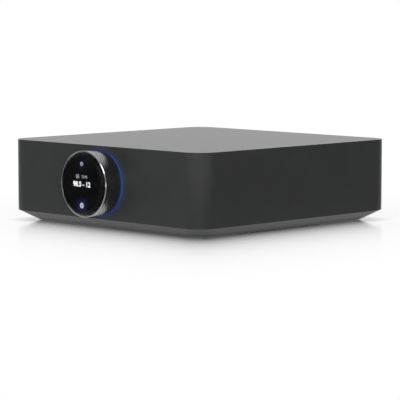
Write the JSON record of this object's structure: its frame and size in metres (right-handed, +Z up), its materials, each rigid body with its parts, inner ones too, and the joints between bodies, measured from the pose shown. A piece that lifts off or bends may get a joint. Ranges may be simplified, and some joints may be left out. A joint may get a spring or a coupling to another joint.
{
  "type": "streaming amplifier",
  "caption": "Low square streaming amplifier with rounded corners, a bevelled base and a large front dial with a round display and light ring; sockets and binding posts at the back.",
  "frame": {"origin": "on the table under the middle of the cabinet, at the centre of the foot ring's underside", "axes": "+Z up, -Y out of the front that holds the dial, +X to the right as seen from the front"},
  "size_m": [0.22, 0.2406, 0.066],
  "materials": {
    "cabinet_paint": "satin",
    "foot_rubber": "matt",
    "panel_plastic": "matt",
    "black_plastic": "matt",
    "post_plastic": "gloss",
    "red_plastic": "gloss",
    "black_steel": "satin",
    "bright_steel": "satin",
    "dial_metal": "satin",
    "magnet": "matt",
    "bush_plastic": "satin",
    "cast_metal": "matt",
    "screen": "gloss",
    "cover_glass": "gloss",
    "light_diffuser": "matt",
    "led": "gloss",
    "chip": "matt",
    "ribbon": "gloss",
    "circuit_board": "gloss",
    "ferrite": "matt",
    "winding": "satin",
    "capacitor_sleeve": "gloss",
    "heat_sink_metal": "matt",
    "lead_sleeve": "satin",
    "gold_plate": "polished"
  },
  "bodies": {
    "cabinet": {"housing": "cabinet_paint", "base_tray": "cabinet_paint", "foot_ring": "foot_rubber", "rear_panel": "panel_plastic", "socket_plate": "panel_plastic", "base_screws": "black_steel", "panel_screws": "black_steel", "hub_screws": "bright_steel", "board_screws": "bright_steel", "dial_bush": "bush_plastic", "dial_hub": "cast_metal", "display_carrier": "black_plastic", "display_panel": "screen", "display_board": "circuit_board", "cover_glass": "cover_glass", "light_ring": "light_diffuser", "led_board": "circuit_board", "leds": "led", "dial_sensor": "chip", "display_ribbon": "ribbon", "main_board": "circuit_board", "processor": "chip", "wireless_module": "bright_steel", "power_board": "circuit_board", "mains_choke": "ferrite", "transformer_core": "ferrite", "transformer_winding": "winding", "reservoir_capacitors": "capacitor_sleeve", "amplifier_board": "circuit_board", "amplifier_chips": "chip", "heat_sink": "heat_sink_metal", "output_chokes": "ferrite", "board_terminals": "black_plastic", "internal_leads": "lead_sleeve", "mains_inlet": "black_plastic", "inlet_pins": "bright_steel", "network_socket": "bright_steel", "network_contacts": "gold_plate", "hdmi_socket": "bright_steel", "hdmi_tongue": "black_plastic", "optical_socket": "black_plastic", "phono_block": "black_plastic", "phono_shells": "gold_plate", "phono_contacts": "gold_plate", "post_block": "black_plastic", "post_studs": "gold_plate", "post_nuts": "bright_steel", "reset_switch": "black_plastic"},
    "dial": {"dial_ring": "dial_metal", "magnet_ring": "magnet"},
    "shutter": {"optical_shutter": "black_plastic"},
    "reset": {"reset_button": "black_plastic"},
    "washer_left_lower": {"post_washer_left_lower": "gold_plate"},
    "cap_left_lower": {"post_cap_left_lower": "post_plastic"},
    "washer_left_upper": {"post_washer_left_upper": "gold_plate"},
    "cap_left_upper": {"post_cap_left_upper": "red_plastic"},
    "washer_right_lower": {"post_washer_right_lower": "gold_plate"},
    "cap_right_lower": {"post_cap_right_lower": "post_plastic"},
    "washer_right_upper": {"post_washer_right_upper": "gold_plate"},
    "cap_right_upper": {"post_cap_right_upper": "red_plastic"}
  },
  "joints": [
    {"name": "dial_turn", "type": "hinge", "parent": "cabinet", "child": "dial", "pos_m": [0, -0.11, 0.03715], "axis": [0, 1, 0], "continuous": true},
    {"name": "shutter_swing", "type": "hinge", "parent": "cabinet", "child": "shutter", "pos_m": [-0.004, 0.0965, 0.0324], "axis": [-1, 0, 0], "range_deg": [0, 82], "stiffness_Nm_per_rad": 0.0003, "springref_deg": -20.05},
    {"name": "reset_press", "type": "slide", "parent": "cabinet", "child": "reset", "axis": [0, -1, 0], "range_m": [0, 0.0004], "stiffness_N_per_m": 1200, "springref_m": -0.0003},
    {"name": "washer_travel_left_lower", "type": "slide", "parent": "cabinet", "child": "washer_left_lower", "axis": [0, 1, 0], "range_m": [0, 0.004]},
    {"name": "cap_turn_left_lower", "type": "hinge", "parent": "washer_left_lower", "child": "cap_left_lower", "pos_m": [-0.05597, 0.11, 0.02765], "axis": [0, 1, 0], "range_deg": [0, 1440]},
    {"name": "washer_travel_left_upper", "type": "slide", "parent": "cabinet", "child": "washer_left_upper", "axis": [0, 1, 0], "range_m": [0, 0.004]},
    {"name": "cap_turn_left_upper", "type": "hinge", "parent": "washer_left_upper", "child": "cap_left_upper", "pos_m": [-0.05597, 0.11, 0.04665], "axis": [0, 1, 0], "range_deg": [0, 1440]},
    {"name": "washer_travel_right_lower", "type": "slide", "parent": "cabinet", "child": "washer_right_lower", "axis": [0, 1, 0], "range_m": [0, 0.004]},
    {"name": "cap_turn_right_lower", "type": "hinge", "parent": "washer_right_lower", "child": "cap_right_lower", "pos_m": [-0.07502, 0.11, 0.02765], "axis": [0, 1, 0], "range_deg": [0, 1440]},
    {"name": "washer_travel_right_upper", "type": "slide", "parent": "cabinet", "child": "washer_right_upper", "axis": [0, 1, 0], "range_m": [0, 0.004]},
    {"name": "cap_turn_right_upper", "type": "hinge", "parent": "washer_right_upper", "child": "cap_right_upper", "pos_m": [-0.07502, 0.11, 0.04665], "axis": [0, 1, 0], "range_deg": [0, 1440]}
  ],
  "couplings": [
    {"joint": "cap_turn_left_lower", "follows": "washer_travel_left_lower", "rad_per_m": 6283.2},
    {"joint": "cap_turn_left_upper", "follows": "washer_travel_left_upper", "rad_per_m": 6283.2},
    {"joint": "cap_turn_right_lower", "follows": "washer_travel_right_lower", "rad_per_m": 6283.2},
    {"joint": "cap_turn_right_upper", "follows": "washer_travel_right_upper", "rad_per_m": 6283.2}
  ]
}
